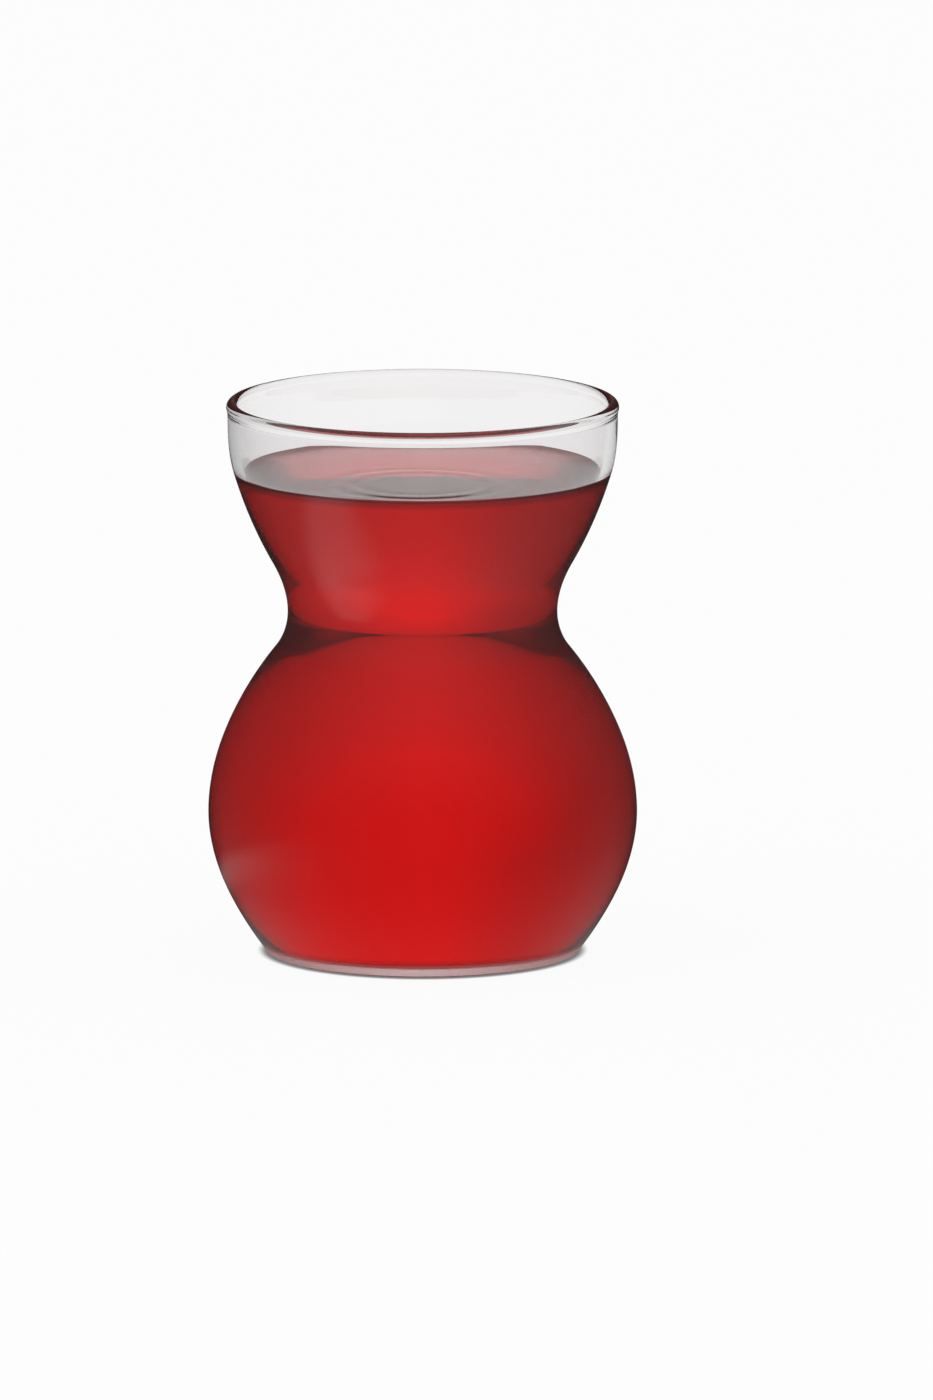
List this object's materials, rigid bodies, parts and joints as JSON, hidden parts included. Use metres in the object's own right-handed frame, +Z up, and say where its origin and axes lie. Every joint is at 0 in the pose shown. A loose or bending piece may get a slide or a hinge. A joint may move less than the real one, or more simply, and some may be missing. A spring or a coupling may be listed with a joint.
{
  "type": "turkish tea glass",
  "caption": "Waisted clear tea glass with a round belly, flared mouth and beaded rim, filled with red tea.",
  "frame": {"origin": "centre of the foot, on the surface that the glass stands on", "axes": "+Z up along the axis of the glass; the glass is round, so X and Y are free"},
  "size_m": [0.0616, 0.0616, 0.08],
  "materials": {
    "clear_glass": "clear colourless blown glass, fire-polished",
    "red_tea": null
  },
  "bodies": {
    "root": {"glass": "clear_glass", "tea": "red_tea"}
  },
  "joints": []
}
